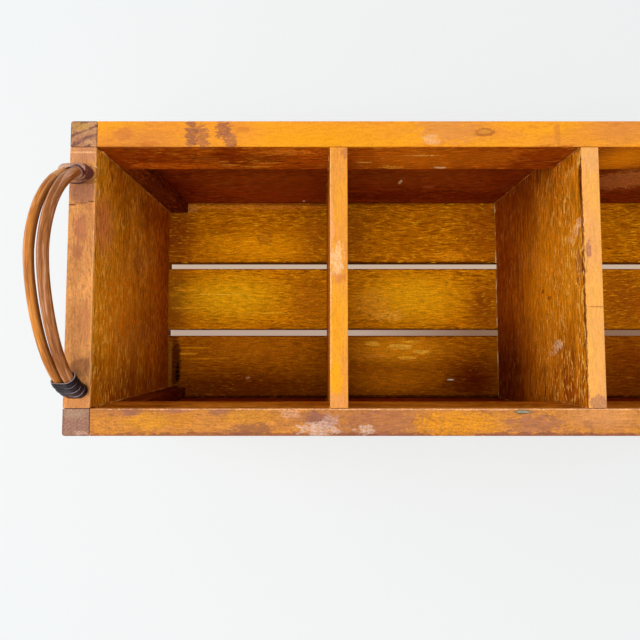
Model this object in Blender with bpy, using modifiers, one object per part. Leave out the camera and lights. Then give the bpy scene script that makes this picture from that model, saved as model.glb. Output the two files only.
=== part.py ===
"""Wooden storage caddy with three compartments and bent rattan handles.

Four square posts carry two full-height end boards and two short top rails.
Thin side panels fill the space under the rails and leave a recess inside,
which corner blocks and the dividers' lower halves fill. Three slats, housed
in the end boards, make the floor, which the posts hold clear of the table. A
pair of bent rods, bound with cane at both feet, stands on each end board. X
runs along the caddy, Y from front to back and Z up from the table.
"""
import math

import bmesh
import bpy
from mathutils import Vector

# Driving dimensions, in metres
COMPARTMENT_COUNT = 3
COMPARTMENT_LENGTH = 0.160
COMPARTMENT_DEPTH = 0.160
BODY_WIDTH = 0.214
STOCK = 0.018
RAIL_HEIGHT = 0.042
PANEL_THICKNESS = 0.008
DIVIDER_THICKNESS = 0.012
SEAT = 0.0003
ARRIS = 0.0005
CORNER_RADIUS = 0.0018
CORNER_FACETS = 4

# Floor
SLAT_COUNT = 3
SLAT_THICKNESS = 0.010
SLAT_GAP = 0.006
FOOT_HEIGHT = 0.0103
BLOCK_WIDTH = 0.018
WORN_END_LENGTH = 0.011
WORN_END_INSET = 0.008
WORN_END_DEPTH = 0.004

# Joints between the boards, as shares of the stock that carries them
TENON_THICKNESS_SHARE = 1 / 3
TENON_LENGTH_SHARE = 4 / 9
TENON_SHOULDER_SHARE = 1 / 5
TONGUE_THICKNESS_SHARE = 3 / 8
TONGUE_DEPTH_SHARE = 2 / 9
JOINT_STOP = 0.010
HOUSING_DEPTH = 0.003
OVERRUN = 0.005

# Handles
OUTER_ROD_DIAMETER = 0.0058
INNER_ROD_DIAMETER = 0.0067
ROD_FOOT_DIAMETER = 0.0048
ROD_GAP = 0.00045
ROD_SPREAD = 0.0014
FOOT_MARGIN_FRONT = 0.0115
FOOT_MARGIN_BACK = 0.0191
HANDLE_INSET = 0.0106
HANDLE_RISE = 0.047
HANDLE_LEAN = 0.0035
HANDLE_APEX_SHIFT = 0.0117
SHOULDER_DRAW_SHARE = 0.13
SOCKET_DEPTH = 0.014
ROD_STEPS = 30
HOLE_SIDES = 20

# Cane bindings at the feet of the handles
CANE_WIDTH = 0.0037
CANE_THICKNESS = 0.0010
CANE_PITCH = 0.0045
CANE_TURNS = 4
CANE_POINTS_PER_TURN = 24

# Levels and faces that the sizes above lead to
SLAT_TOP = FOOT_HEIGHT + SLAT_THICKNESS
TONGUE_BOTTOM = FOOT_HEIGHT + JOINT_STOP
RIM = SLAT_TOP + COMPARTMENT_DEPTH
RAIL_BOTTOM = RIM - RAIL_HEIGHT
INNER_X = (COMPARTMENT_COUNT * COMPARTMENT_LENGTH
           + (COMPARTMENT_COUNT - 1) * DIVIDER_THICKNESS) / 2
OUTER_X = INNER_X + STOCK
OUTER_Y = BODY_WIDTH / 2
INNER_Y = OUTER_Y - STOCK
PANEL_Y = OUTER_Y - PANEL_THICKNESS
SLAT_WIDTH = (2 * (PANEL_Y - SEAT) - (SLAT_COUNT - 1) * SLAT_GAP) / SLAT_COUNT
TENON_THICKNESS = STOCK * TENON_THICKNESS_SHARE
TENON_LENGTH = STOCK * TENON_LENGTH_SHARE
TENON_SHOULDER = RAIL_HEIGHT * TENON_SHOULDER_SHARE
TONGUE_DEPTH = STOCK * TONGUE_DEPTH_SHARE
PANEL_TONGUE = PANEL_THICKNESS * TONGUE_THICKNESS_SHARE
PANEL_TONGUE_HEIGHT = PANEL_THICKNESS / 2
HANDLE_SPAN = 2 * INNER_Y - FOOT_MARGIN_FRONT - FOOT_MARGIN_BACK
HANDLE_CENTRE_Y = (FOOT_MARGIN_FRONT - FOOT_MARGIN_BACK) / 2
HANDLE_X = OUTER_X - HANDLE_INSET
ROD_SPACING = (OUTER_ROD_DIAMETER + INNER_ROD_DIAMETER) / 2 + ROD_GAP
ENDS = (("left", -1), ("right", 1))
SIDES = (("front", -1), ("back", 1))


def clear_scene():
    """Removes whatever the file held before."""
    for old in list(bpy.data.objects):
        bpy.data.objects.remove(old, do_unlink=True)


def new_collection(name):
    """A collection linked to the scene."""
    collection = bpy.data.collections.new(name)
    bpy.context.scene.collection.children.link(collection)
    return collection


def new_material(name, colour, roughness):
    """A varnished wood or cane finish."""
    material = bpy.data.materials.new(name)
    material.use_nodes = True
    shader = material.node_tree.nodes["Principled BSDF"]
    shader.inputs["Base Color"].default_value = (*colour, 1.0)
    shader.inputs["Roughness"].default_value = roughness
    shader.inputs["Metallic"].default_value = 0.0
    return material


def box(name, xs, ys, zs, collection):
    """A box between two places on each axis, with its origin at its centre."""
    low = Vector((min(xs), min(ys), min(zs)))
    high = Vector((max(xs), max(ys), max(zs)))
    shape = bmesh.new()
    bmesh.ops.create_cube(shape, size=1.0)
    bmesh.ops.scale(shape, vec=high - low, verts=shape.verts)
    mesh = bpy.data.meshes.new(name)
    shape.to_mesh(mesh)
    shape.free()
    piece = bpy.data.objects.new(name, mesh)
    piece.location = (low + high) / 2
    collection.objects.link(piece)
    return piece


def board(name, xs, ys, zs, material):
    """A sawn board with its sharp edges eased."""
    piece = box(name, xs, ys, zs, parts)
    piece.data.materials.append(material)
    ease_edges(piece)
    return piece


def ease_edges(piece):
    """Rounds every sharp edge of a piece a little."""
    bevel = piece.modifiers.new("eased_edges", "BEVEL")
    bevel.width = ARRIS
    bevel.segments = 2
    bevel.limit_method = "ANGLE"


def round_corner(piece, x, y):
    """Rounds the upright edge of a piece on the side that x and y point to."""
    shape = bmesh.new()
    shape.from_mesh(piece.data)
    corner = [edge for edge in shape.edges
              if all(vertex.co.x * x > 0 and vertex.co.y * y > 0 for vertex in edge.verts)]
    bmesh.ops.bevel(shape, geom=corner, offset=CORNER_RADIUS, segments=CORNER_FACETS,
                    affect="EDGES", profile=0.5, material=-1)
    shape.to_mesh(piece.data)
    shape.free()


def hide_operand(operand):
    """Keeps a cutter or a tenon blank out of the model."""
    operand.hide_render = True
    operand.display_type = "WIRE"


def cut(piece, cutter):
    """Takes a cutter's volume out of a piece."""
    hide_operand(cutter)
    boolean = piece.modifiers.new(cutter.name, "BOOLEAN")
    boolean.operation = "DIFFERENCE"
    boolean.object = cutter


def join(piece, blank):
    """Adds a tenon or tongue blank to a piece."""
    hide_operand(blank)
    boolean = piece.modifiers.new(blank.name, "BOOLEAN")
    boolean.operation = "UNION"
    boolean.object = blank


def around(centre, thickness):
    """The two faces of something centred on a place."""
    return (centre - thickness / 2, centre + thickness / 2)


def divider_places():
    """The dividers' centres along the caddy, from left to right."""
    step = COMPARTMENT_LENGTH + DIVIDER_THICKNESS
    first = -INNER_X + COMPARTMENT_LENGTH + DIVIDER_THICKNESS / 2
    return [first + step * index for index in range(COMPARTMENT_COUNT - 1)]


def slat_places():
    """Each slat's name and its two long edges, from front to back."""
    step = SLAT_WIDTH + SLAT_GAP
    lows = [-(PANEL_Y - SEAT) + step * index for index in range(SLAT_COUNT)]
    return [(name, low, low + SLAT_WIDTH) for name, low in zip(("front", "middle", "back"), lows)]


def make_posts():
    """Four posts, rounded at the outer corner, with a mortise, two grooves and free feet."""
    rail_y = (INNER_Y + OUTER_Y) / 2
    panel_y = (PANEL_Y + OUTER_Y) / 2
    end_x = (INNER_X + OUTER_X) / 2
    for end, x in ENDS:
        for side, y in SIDES:
            name = f"post_{side}_{end}"
            post = board(name, (x * INNER_X, x * OUTER_X), (y * INNER_Y, y * OUTER_Y),
                         (0, RIM), post_finish)
            round_corner(post, x, y)
            mortise_x = (x * (INNER_X - OVERRUN), x * (INNER_X + TENON_LENGTH + SEAT))
            cut(post, box(name + "_rail_mortise", mortise_x,
                          around(y * rail_y, TENON_THICKNESS + 2 * SEAT),
                          (RAIL_BOTTOM + TENON_SHOULDER - SEAT, RIM - TENON_SHOULDER + SEAT), cutters))
            groove_x = (x * (INNER_X - OVERRUN), x * (INNER_X + TONGUE_DEPTH + SEAT))
            cut(post, box(name + "_panel_groove", groove_x,
                          around(y * panel_y, PANEL_TONGUE + 2 * SEAT),
                          (TONGUE_BOTTOM - SEAT, RAIL_BOTTOM - JOINT_STOP + SEAT), cutters))
            groove_y = (y * (INNER_Y - OVERRUN), y * (INNER_Y + TONGUE_DEPTH + SEAT))
            cut(post, box(name + "_end_board_groove",
                          around(x * end_x, TENON_THICKNESS + 2 * SEAT), groove_y,
                          (TONGUE_BOTTOM - SEAT, RIM - JOINT_STOP + SEAT), cutters))


def make_end_boards():
    """Two tall boards, tongued into the posts, housed for the slats and bored for the rods."""
    end_x = (INNER_X + OUTER_X) / 2
    for end, x in ENDS:
        name = f"end_board_{end}"
        half_width = INNER_Y - SEAT
        end_board = board(name, (x * INNER_X, x * OUTER_X), (-half_width, half_width),
                          (FOOT_HEIGHT, RIM), board_finish)
        tongue_reach = INNER_Y + TONGUE_DEPTH
        join(end_board, box(name + "_tongue", around(x * end_x, TENON_THICKNESS),
                            (-tongue_reach, tongue_reach), (TONGUE_BOTTOM, RIM - JOINT_STOP), cutters))
        for place, low, high in slat_places():
            cut(end_board, box(f"{name}_{place}_housing",
                               (x * (INNER_X - OVERRUN), x * (INNER_X + HOUSING_DEPTH + SEAT)),
                               (low - SEAT, high + SEAT), (0, SLAT_TOP + SEAT), cutters))
        for rod_name, rod_x, _ in rod_places(x):
            for foot in (0, math.pi):
                centre = rod_point(rod_x, x, foot)
                cut(end_board, rod_hole(f"{name}_{rod_name}_hole_{foot:.0f}", centre))


def rod_hole(name, top):
    """A blind hole for the whittled foot of a rod, a little wider than the foot."""
    shape = bmesh.new()
    radius = ROD_FOOT_DIAMETER / 2 + SEAT
    depth = SOCKET_DEPTH + OVERRUN
    bmesh.ops.create_cone(shape, cap_ends=True, segments=HOLE_SIDES,
                          radius1=radius, radius2=radius, depth=depth)
    mesh = bpy.data.meshes.new(name)
    shape.to_mesh(mesh)
    shape.free()
    hole = bpy.data.objects.new(name, mesh)
    hole.location = (top.x, top.y, RIM - SOCKET_DEPTH + depth / 2)
    cutters.objects.link(hole)
    return hole


def make_top_rails():
    """Two rails with end tenons, a groove for the panel and stopped housings."""
    panel_y = (PANEL_Y + OUTER_Y) / 2
    for side, y in SIDES:
        name = f"top_rail_{side}"
        half_length = INNER_X - SEAT
        rail = board(name, (-half_length, half_length), (y * INNER_Y, y * OUTER_Y),
                     (RAIL_BOTTOM, RIM), rail_finish)
        tenon_reach = INNER_X + TENON_LENGTH
        join(rail, box(name + "_tenons", (-tenon_reach, tenon_reach),
                       around(y * (INNER_Y + OUTER_Y) / 2, TENON_THICKNESS),
                       (RAIL_BOTTOM + TENON_SHOULDER, RIM - TENON_SHOULDER), cutters))
        cut(rail, box(name + "_panel_groove", (-OUTER_X, OUTER_X),
                      around(y * panel_y, PANEL_TONGUE + 2 * SEAT),
                      (RAIL_BOTTOM - OVERRUN, RAIL_BOTTOM + PANEL_TONGUE_HEIGHT + SEAT), cutters))
        for index, centre in enumerate(divider_places()):
            cut(rail, box(f"{name}_housing_{index}", around(centre, DIVIDER_THICKNESS + 2 * SEAT),
                          (y * (INNER_Y - OVERRUN), y * (INNER_Y + HOUSING_DEPTH + SEAT)),
                          (RAIL_BOTTOM - OVERRUN, RIM - JOINT_STOP + SEAT), cutters))


def make_side_panels():
    """Two thin panels, tongued into the posts and up into the rails."""
    for side, y in SIDES:
        name = f"side_panel_{side}"
        half_length = INNER_X - SEAT
        panel = board(name, (-half_length, half_length), (y * PANEL_Y, y * OUTER_Y),
                      (FOOT_HEIGHT, RAIL_BOTTOM - SEAT), panel_finish)
        tongue_y = around(y * (PANEL_Y + OUTER_Y) / 2, PANEL_TONGUE)
        tongue_reach = INNER_X + TONGUE_DEPTH
        join(panel, box(name + "_end_tongues", (-tongue_reach, tongue_reach), tongue_y,
                        (TONGUE_BOTTOM, RAIL_BOTTOM - JOINT_STOP), cutters))
        top_reach = half_length - SEAT
        join(panel, box(name + "_top_tongue", (-top_reach, top_reach), tongue_y,
                        (RAIL_BOTTOM - JOINT_STOP - OVERRUN, RAIL_BOTTOM + PANEL_TONGUE_HEIGHT), cutters))


def make_corner_blocks():
    """Four blocks that fill the recess beside the posts, under the rails."""
    for end, x in ENDS:
        for side, y in SIDES:
            board(f"corner_block_{side}_{end}",
                  (x * (INNER_X - BLOCK_WIDTH), x * (INNER_X - SEAT)),
                  (y * INNER_Y, y * (PANEL_Y - SEAT)),
                  (FOOT_HEIGHT, RAIL_BOTTOM - SEAT), block_finish)


def mesh_from_curve(name, curve):
    """The closed mesh of a curve, with its caps welded on."""
    drawn = bpy.data.objects.new(name + "_curve", curve)
    parts.objects.link(drawn)
    bpy.context.view_layer.update()
    mesh = bpy.data.meshes.new_from_object(drawn.evaluated_get(bpy.context.evaluated_depsgraph_get()))
    bpy.data.objects.remove(drawn, do_unlink=True)
    shape = bmesh.new()
    shape.from_mesh(mesh)
    bmesh.ops.remove_doubles(shape, verts=shape.verts, dist=SEAT / 10)
    shape.to_mesh(mesh)
    shape.free()
    mesh.name = name
    return mesh


def flat_plate(name, points, thickness):
    """A flat plate from its outline, standing in the YZ plane."""
    curve = bpy.data.curves.new(name, "CURVE")
    curve.dimensions = "2D"
    curve.fill_mode = "BOTH"
    curve.extrude = thickness / 2
    spline = curve.splines.new("POLY")
    spline.points.add(len(points) - 1)
    for point, (across, up) in zip(spline.points, points):
        point.co = (across, up, 0, 1)
    spline.use_cyclic_u = True
    plate = bpy.data.objects.new(name, mesh_from_curve(name, curve))
    plate.rotation_euler = (math.pi / 2, 0, math.pi / 2)
    parts.objects.link(plate)
    return plate


def make_dividers():
    """Two plates, wide under the rails and notched where the rails pass."""
    low = SLAT_TOP + SEAT
    step = RAIL_BOTTOM - SEAT
    stop = RIM - JOINT_STOP
    lower = PANEL_Y - SEAT
    tongue = INNER_Y + HOUSING_DEPTH
    upper = INNER_Y - SEAT
    half = [(lower, low), (lower, step), (tongue, step), (tongue, stop), (upper, stop), (upper, RIM)]
    outline = half + [(-across, up) for across, up in reversed(half)]
    for end, centre in zip(("left", "right"), divider_places()):
        divider = flat_plate(f"divider_{end}", outline, DIVIDER_THICKNESS)
        divider.location.x = centre
        divider.data.materials.append(divider_finish)
        ease_edges(divider)


def make_floor():
    """Three slats with housed ends, cut round the corner blocks."""
    slat_reach = INNER_X + HOUSING_DEPTH
    for place, low, high in slat_places():
        slat = board(f"floor_slat_{place}", (-slat_reach, slat_reach), (low, high),
                     (FOOT_HEIGHT, SLAT_TOP), slat_finish)
        if place == "middle":
            continue
        y = -1 if place == "front" else 1
        for end, x in ENDS:
            cut(slat, box(f"floor_slat_{place}_notch_{end}",
                          (x * (INNER_X - BLOCK_WIDTH - SEAT), x * OUTER_X),
                          (y * (INNER_Y - SEAT), y * OUTER_Y), (0, SLAT_TOP + OVERRUN), cutters))
        if place == "front":
            cut(slat, box("floor_slat_front_worn_end",
                          (-OUTER_X, -INNER_X + WORN_END_LENGTH),
                          (-OUTER_Y, high - WORN_END_INSET),
                          (SLAT_TOP - WORN_END_DEPTH, SLAT_TOP + OVERRUN), cutters))


def rod_places(end_sign):
    """Each rod's name, foot and radius: the outer one stands nearer the caddy's end."""
    middle = end_sign * HANDLE_X
    return (("outer", middle + end_sign * ROD_SPACING / 2, OUTER_ROD_DIAMETER / 2),
            ("inner", middle - end_sign * ROD_SPACING / 2, INNER_ROD_DIAMETER / 2))


def drawn_in(share):
    """A sine or cosine with the arch's shoulders drawn in a little."""
    return math.copysign(abs(share) ** (1 + SHOULDER_DRAW_SHARE), share)


def rod_point(rod_x, end_sign, angle):
    """A point on a rod's centre line; 0 is its back foot and pi its front foot."""
    rise = math.sin(angle)
    away = math.copysign(ROD_SPREAD / 2, rod_x - end_sign * HANDLE_X)
    across = HANDLE_SPAN / 2 * drawn_in(math.cos(angle)) + HANDLE_APEX_SHIFT * rise ** 2
    return Vector((rod_x + (away + end_sign * HANDLE_LEAN) * rise,
                   HANDLE_CENTRE_Y + across, RIM + HANDLE_RISE * drawn_in(rise)))


def tube(name, points, radii, material):
    """A round rod along a list of points, with a radius at each and closed ends."""
    curve = bpy.data.curves.new(name, "CURVE")
    curve.dimensions = "3D"
    curve.bevel_depth = max(radii)
    curve.bevel_resolution = 3
    curve.use_fill_caps = True
    spline = curve.splines.new("POLY")
    spline.points.add(len(points) - 1)
    for point, place, radius in zip(spline.points, points, radii):
        point.co = (*place, 1)
        point.radius = radius / curve.bevel_depth
    spline.use_smooth = True
    rod = bpy.data.objects.new(name, curve)
    curve.materials.append(material)
    parts.objects.link(rod)
    return rod


def make_handle_rods():
    """Two bent rods side by side on each end board, with whittled feet in its holes."""
    low = Vector((0, 0, -(SOCKET_DEPTH - SEAT)))
    neck = Vector((0, 0, SEAT))
    angles = [math.pi * step / ROD_STEPS for step in range(ROD_STEPS + 1)]
    for end, x in ENDS:
        for rod_name, rod_x, radius in rod_places(x):
            arch = [rod_point(rod_x, x, angle) for angle in angles]
            back, front = arch[0], arch[-1]
            points = [back + low, back + neck, back + 2 * neck, *arch[1:-1],
                      front + 2 * neck, front + neck, front + low]
            foot = ROD_FOOT_DIAMETER / 2
            radii = [foot, foot, *[radius] * (len(points) - 4), foot, foot]
            tube(f"handle_rod_{end}_{rod_name}", points, radii, rod_finish)


def foot_line(end_sign, foot_angle):
    """Length along a handle from one foot, with the angle it is reached at."""
    inward = 1 if foot_angle == 0 else -1
    angles = [foot_angle + inward * math.pi / 2 * step / ROD_STEPS for step in range(ROD_STEPS + 1)]
    places = [handle_centre(end_sign, angle) for angle in angles]
    lengths = [0]
    for low, high in zip(places, places[1:]):
        lengths.append(lengths[-1] + (high - low).length)
    return list(zip(lengths, angles))


def handle_centre(end_sign, angle):
    """The place midway between a handle's two rods."""
    (_, outer_x, _), (_, inner_x, _) = rod_places(end_sign)
    return (rod_point(outer_x, end_sign, angle) + rod_point(inner_x, end_sign, angle)) / 2


def half_spacing(end_sign, angle):
    """Half the distance between a handle's two rods."""
    (_, outer_x, _), (_, inner_x, _) = rod_places(end_sign)
    return (rod_point(outer_x, end_sign, angle) - rod_point(inner_x, end_sign, angle)).length / 2


def angle_at(line, length):
    """The handle's angle at a length along it from the foot."""
    for (low, start), (high, stop) in zip(line, line[1:]):
        if length <= high:
            break
    return start + (stop - start) * (length - low) / (high - low)


def bend_to_handle(place, line, end_sign):
    """Moves a place beside a straight pair of rods to the same place beside the bent pair."""
    across, out, length = place
    angle = angle_at(line, length)
    small = (line[1][1] - line[0][1]) / ROD_STEPS
    up = (handle_centre(end_sign, angle + small) - handle_centre(end_sign, angle - small)).normalized()
    wide = Vector((1, 0, 0))
    return handle_centre(end_sign, angle) + wide * across + up.cross(wide).normalized() * out


def belt_point(share, half_straight, left_radius, right_radius):
    """A point on the belt round two rods, at a share of the way round it."""
    straight = 2 * half_straight
    bend = math.pi * (left_radius + right_radius) / 2
    along = (share % 1) * 2 * (straight + bend)
    if along < straight:
        done = along / straight
        return half_straight - along, right_radius + (left_radius - right_radius) * done
    along -= straight
    if along < bend:
        angle = math.pi / 2 + math.pi * along / bend
        return -half_straight + left_radius * math.cos(angle), left_radius * math.sin(angle)
    along -= bend
    if along < straight:
        done = along / straight
        return -half_straight + along, -(left_radius + (right_radius - left_radius) * done)
    along -= straight
    angle = -math.pi / 2 + math.pi * along / bend
    return half_straight + right_radius * math.cos(angle), right_radius * math.sin(angle)


def straight_winding(line, end_sign):
    """The middle line of a cane strip wound up a straight pair of rods."""
    radii = [radius + SEAT + CANE_THICKNESS / 2 for _, _, radius in rod_places(end_sign)]
    left_radius, right_radius = radii if end_sign < 0 else reversed(radii)
    route = []
    for step in range(CANE_TURNS * CANE_POINTS_PER_TURN + 1):
        turn = step / CANE_POINTS_PER_TURN
        length = SEAT + CANE_WIDTH / 2 + CANE_PITCH * turn
        straight = half_spacing(end_sign, angle_at(line, length))
        route.append(Vector((*belt_point(turn, straight, left_radius, right_radius), length)))
    return route


def least_gap(route, line, end_sign):
    """The least distance between the facing edges of two turns, once bent."""
    half_width = Vector((0, 0, CANE_WIDTH / 2))
    tops = [bend_to_handle(place + half_width, line, end_sign) for place in route]
    bottoms = [bend_to_handle(place - half_width, line, end_sign) for place in route]
    half_turn = CANE_POINTS_PER_TURN // 2
    return min((bottom - top).length for index, top in enumerate(tops)
               for bottom in bottoms[index + half_turn:])


def cane_strip(name, route, line, end_sign):
    """A flat strip with rounded edges, wound straight as one tube and then bent."""
    curve = bpy.data.curves.new(name, "CURVE")
    curve.dimensions = "3D"
    curve.twist_mode = "Z_UP"
    curve.bevel_depth = CANE_THICKNESS / 2
    curve.extrude = (CANE_WIDTH - CANE_THICKNESS) / 2
    curve.bevel_resolution = 1
    curve.use_fill_caps = True
    spline = curve.splines.new("POLY")
    spline.points.add(len(route) - 1)
    for point, place in zip(spline.points, route):
        point.co = (*place, 1)
    mesh = mesh_from_curve(name, curve)
    for vertex in mesh.vertices:
        vertex.co = bend_to_handle(vertex.co, line, end_sign)
    mesh.materials.clear()
    mesh.materials.append(cane_finish)
    parts.objects.link(bpy.data.objects.new(name, mesh))


def make_cane_bindings():
    """A cane strip wound round both rods at each foot of each handle."""
    for end, x in ENDS:
        for side, foot_angle in (("front", math.pi), ("back", 0)):
            name = f"cane_binding_{side}_{end}"
            line = foot_line(x, foot_angle)
            route = straight_winding(line, x)
            print(f"{name}: least gap between turns {least_gap(route, line, x) * 1000:.2f} mm")
            cane_strip(name, route, line, x)


clear_scene()
parts = new_collection("storage_caddy")
cutters = new_collection("storage_caddy_cutters")

post_finish = new_material("post_end_grain_stain", (0.28, 0.13, 0.06), 0.45)
board_finish = new_material("end_board_stain", (0.50, 0.20, 0.05), 0.40)
rail_finish = new_material("rail_stain", (0.62, 0.25, 0.05), 0.38)
panel_finish = new_material("panel_stain", (0.24, 0.07, 0.01), 0.42)
block_finish = new_material("block_stain", (0.20, 0.05, 0.01), 0.45)
divider_finish = new_material("divider_stain", (0.58, 0.24, 0.04), 0.38)
slat_finish = new_material("slat_stain", (0.42, 0.18, 0.02), 0.40)
rod_finish = new_material("rattan_rod_varnish", (0.50, 0.18, 0.05), 0.35)
cane_finish = new_material("cane_binding_varnish", (0.05, 0.02, 0.02), 0.30)

make_posts()
make_end_boards()
make_top_rails()
make_side_panels()
make_corner_blocks()
make_dividers()
make_floor()
make_handle_rods()
make_cane_bindings()
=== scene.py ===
"""Looks of the wooden storage caddy with rattan handles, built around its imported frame."""

import math

import bmesh
import bpy
from mathutils import Matrix, Vector, noise


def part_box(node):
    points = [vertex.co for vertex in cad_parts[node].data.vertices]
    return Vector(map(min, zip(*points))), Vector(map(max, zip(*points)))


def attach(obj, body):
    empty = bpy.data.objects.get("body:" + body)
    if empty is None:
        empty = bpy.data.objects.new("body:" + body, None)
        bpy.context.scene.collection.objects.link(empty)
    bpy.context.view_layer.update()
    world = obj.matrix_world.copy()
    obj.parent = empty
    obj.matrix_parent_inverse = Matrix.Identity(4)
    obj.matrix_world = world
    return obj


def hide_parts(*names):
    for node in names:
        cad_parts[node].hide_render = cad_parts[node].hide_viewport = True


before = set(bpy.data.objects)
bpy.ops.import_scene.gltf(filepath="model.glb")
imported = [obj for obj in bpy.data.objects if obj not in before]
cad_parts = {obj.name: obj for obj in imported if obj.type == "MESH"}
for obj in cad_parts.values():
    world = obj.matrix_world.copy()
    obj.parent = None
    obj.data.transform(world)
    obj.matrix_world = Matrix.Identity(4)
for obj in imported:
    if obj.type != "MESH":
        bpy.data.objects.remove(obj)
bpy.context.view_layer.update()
MM = 0.001

# Camera
# It looks almost straight down at the left compartments from half a metre above the table,
# a little towards the back, with a phone's wide lens.
CAMERA_PLACE = (-0.0988, -0.0478, 0.4985)
CAMERA_TILT = math.radians(3.2)
SENSOR_WIDTH = 36.0
LENS = 26.71


def scene_object(name, data):
    """A new object in the scene."""
    piece = bpy.data.objects.new(name, data)
    bpy.context.scene.collection.objects.link(piece)
    return piece


camera = scene_object("photo_camera", bpy.data.cameras.new("photo_camera"))
camera.data.sensor_width = SENSOR_WIDTH
camera.data.lens = LENS
camera.location = CAMERA_PLACE
camera.rotation_euler = (CAMERA_TILT, 0, 0)
bpy.context.scene.camera = camera
bpy.context.scene.view_settings.view_transform = "Standard"

# Table and light
# A pale matt table that stays nearly white round the caddy and keeps its faint shadow. Under the caddy
# it is painted a dim warm shade, darker towards the front right, for the caddy's shadow and the light
# bounced off the wood. It lies under a soft ceiling light and a room whose walls are paler than its ceiling.
TABLE_SIZE = 6.0
TABLE_WHITE = "#ecefef"
TABLE_GLOW = 0.66
UNDER_GLOW = 0.95
PAINTED_SHADE_BACK = "#ccb49e"
PAINTED_SHADE_FRONT = "#bea492"
PAINTED_SHADE_FRONT_RIGHT = "#8c6a54"
UNDER_REACH = (0.272, 0.108)
UNDER_FADE = 0.02
UNDER_LEFT_TO_RIGHT = (-0.06, 0.06)
UNDER_BACK_TO_FRONT = (0.012, -0.016)
CEILING_SIZE = 1.1
CEILING_PLACE = (-0.20, -0.25, 1.6)
CEILING_POWER = 17.0
WINDOW_SIZE = 0.7
WINDOW_PLACE = (-1.5, 0.25, 0.75)
WINDOW_POWER = 7.0
ROOM_ZENITH = 0.34
ROOM_HORIZON = 1.0
ROOM_IN_VARNISH = 0.25


def add_node(tree, kind, inputs, **settings):
    """Adds a shader node; each of its inputs is a value or another node's output. Returns its outputs."""
    node = tree.nodes.new("ShaderNode" + kind)
    for name, value in settings.items():
        setattr(node, name, value)
    for name, value in inputs.items():
        if isinstance(value, bpy.types.NodeSocket):
            tree.links.new(value, node.inputs[name])
        else:
            node.inputs[name].default_value = value
    return node.outputs


def paint(hex_colour):
    """The linear colour of an sRGB hex value."""
    channels = [int(hex_colour[place:place + 2], 16) / 255 for place in (1, 3, 5)]
    linear = [c / 12.92 if c <= 0.04045 else ((c + 0.055) / 1.055) ** 2.4 for c in channels]
    return (*linear, 1.0)


def bare_material(name):
    """A new material with an empty node tree and its output node."""
    material = bpy.data.materials.new(name)
    material.use_nodes = True
    material.node_tree.nodes.clear()
    output = material.node_tree.nodes.new("ShaderNodeOutputMaterial")
    return material, material.node_tree, output.inputs["Surface"]


def reckon(tree, operation, *values):
    """The result of one step of arithmetic on numbers or sockets."""
    return add_node(tree, "Math", dict(enumerate(values)), operation=operation)[0]


def vector_step(tree, operation, *values):
    """The result of one step of arithmetic on vectors."""
    return add_node(tree, "VectorMath", dict(enumerate(values)), operation=operation)[0]


def ramp(tree, value, low=0.0, high=1.0, start=0.0, stop=1.0):
    """Goes evenly from start to stop while a value goes from low to high."""
    return add_node(tree, "MapRange", {"Value": value, "From Min": low, "From Max": high,
                                       "To Min": start, "To Max": stop})[0]


def tint(tree, colour, other, amount):
    """A colour turned towards another by an amount, which may be a mask."""
    return add_node(tree, "Mix", {0: amount, 6: colour, 7: other}, data_type="RGBA")[2]


def object_place(tree):
    """Object coordinates, which are the scene's own, because every piece has its origin there."""
    return add_node(tree, "TexCoord", {})["Object"]


def pale_table():
    """A plain table top that the camera sees nearly at its own colour, painted with a dim warm shade under
    the caddy.
    """
    shape = bmesh.new()
    bmesh.ops.create_grid(shape, x_segments=1, y_segments=1, size=TABLE_SIZE / 2)
    mesh = bpy.data.meshes.new("table_top")
    shape.to_mesh(mesh)
    shape.free()
    material, tree, surface = bare_material("matt_table_paint")
    right, back, _ = add_node(tree, "SeparateXYZ", {0: object_place(tree)})
    off_x = reckon(tree, "SUBTRACT", reckon(tree, "ABSOLUTE", right), UNDER_REACH[0])
    off_y = reckon(tree, "SUBTRACT", reckon(tree, "ABSOLUTE", back), UNDER_REACH[1])
    under = ramp(tree, reckon(tree, "MAXIMUM", off_x, off_y), 0.0, -UNDER_FADE)
    # Painted shade under the caddy, seen mostly as glow: dim warm colours for its shadow and bounced light,
    # darker to the front right.
    to_right = ramp(tree, right, *UNDER_LEFT_TO_RIGHT)
    front = tint(tree, paint(PAINTED_SHADE_FRONT), paint(PAINTED_SHADE_FRONT_RIGHT), to_right)
    painted_shade_colour = tint(tree, paint(PAINTED_SHADE_BACK), front, ramp(tree, back, *UNDER_BACK_TO_FRONT))
    colour = tint(tree, paint(TABLE_WHITE), painted_shade_colour, under)
    matt = add_node(tree, "BsdfDiffuse", {"Color": colour})[0]
    glow = add_node(tree, "Emission", {"Color": colour, "Strength": 1.0})[0]
    path = add_node(tree, "LightPath", {})
    seen = reckon(tree, "MAXIMUM", path["Is Camera Ray"], path["Is Glossy Ray"])
    seen = reckon(tree, "MAXIMUM", seen, path["Is Transmission Ray"])
    share = reckon(tree, "MULTIPLY", seen, ramp(tree, under, start=TABLE_GLOW, stop=UNDER_GLOW))
    tree.links.new(add_node(tree, "MixShader", {0: share, 1: matt, 2: glow})[0], surface)
    mesh.materials.append(material)
    scene_object("table_top", mesh)


def soft_lamp(name, size, place, power):
    """A square area light turned towards the caddy."""
    lamp = bpy.data.lights.new(name, "AREA")
    lamp.size = size
    lamp.energy = power
    piece = scene_object(name, lamp)
    piece.location = place
    piece.rotation_euler = (-Vector(place)).to_track_quat("-Z", "Y").to_euler()
    return piece


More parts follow.
